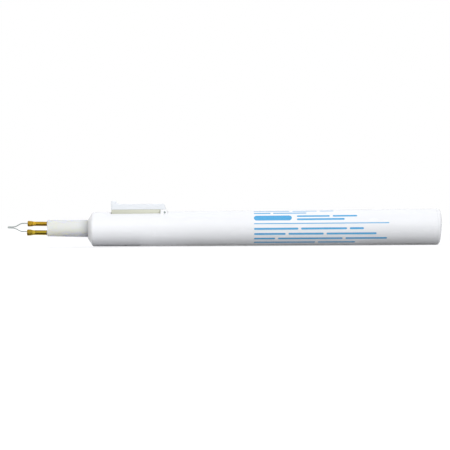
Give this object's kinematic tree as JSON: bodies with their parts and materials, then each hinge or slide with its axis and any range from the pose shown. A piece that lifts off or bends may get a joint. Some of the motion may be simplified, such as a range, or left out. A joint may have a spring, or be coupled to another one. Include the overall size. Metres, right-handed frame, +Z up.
{
  "type": "cautery pen",
  "caption": "Battery operated cautery pen: white barrel with a hinged press button, cream shaft, crimped brass tubes and a folded heater wire tip",
  "frame": {"origin": "on the surface that the pen lies on, under the middle of its box", "axes": "+X towards the rear end cap, the heater tip points to -X; +Z up, with the button on top"},
  "size_m": [0.2078, 0.0174, 0.0222],
  "materials": {
    "white_moulding": "satin",
    "button_white": "satin",
    "cream_moulding": "satin",
    "crimped_brass": "satin",
    "contact_bronze": "satin",
    "plated_contact": "satin",
    "pin_steel": "satin",
    "heater_alloy": "satin",
    "cell_wrap": "satin",
    "lead_insulation": "satin"
  },
  "bodies": {
    "body": {"barrel": "white_moulding", "end_cap": "white_moulding", "shaft": "cream_moulding", "electrode_upper": "crimped_brass", "electrode_lower": "crimped_brass", "heater_wire": "heater_alloy", "hinge_pin": "pin_steel", "switch_carrier": "cream_moulding", "contact_leaf": "contact_bronze", "leaf_rivet": "crimped_brass", "fixed_contact": "crimped_brass", "return_strip": "plated_contact", "lead_positive": "lead_insulation", "lead_switch": "lead_insulation", "bulkhead": "cream_moulding", "positive_plate": "plated_contact", "cell_front": "cell_wrap", "cell_rear": "cell_wrap", "battery_spring": "plated_contact", "spring_plate": "plated_contact"},
    "button": {"button_cap": "button_white", "button_lever": "cream_moulding"}
  },
  "joints": [
    {"name": "button_press", "type": "hinge", "parent": "body", "child": "button", "pos_m": [-0.0283, 0, 0.01642], "axis": [0, -1, 0], "range_deg": [0, 3.6], "stiffness_Nm_per_rad": 0.05, "springref_deg": -17.19, "deforming": ["contact_leaf"]}
  ]
}
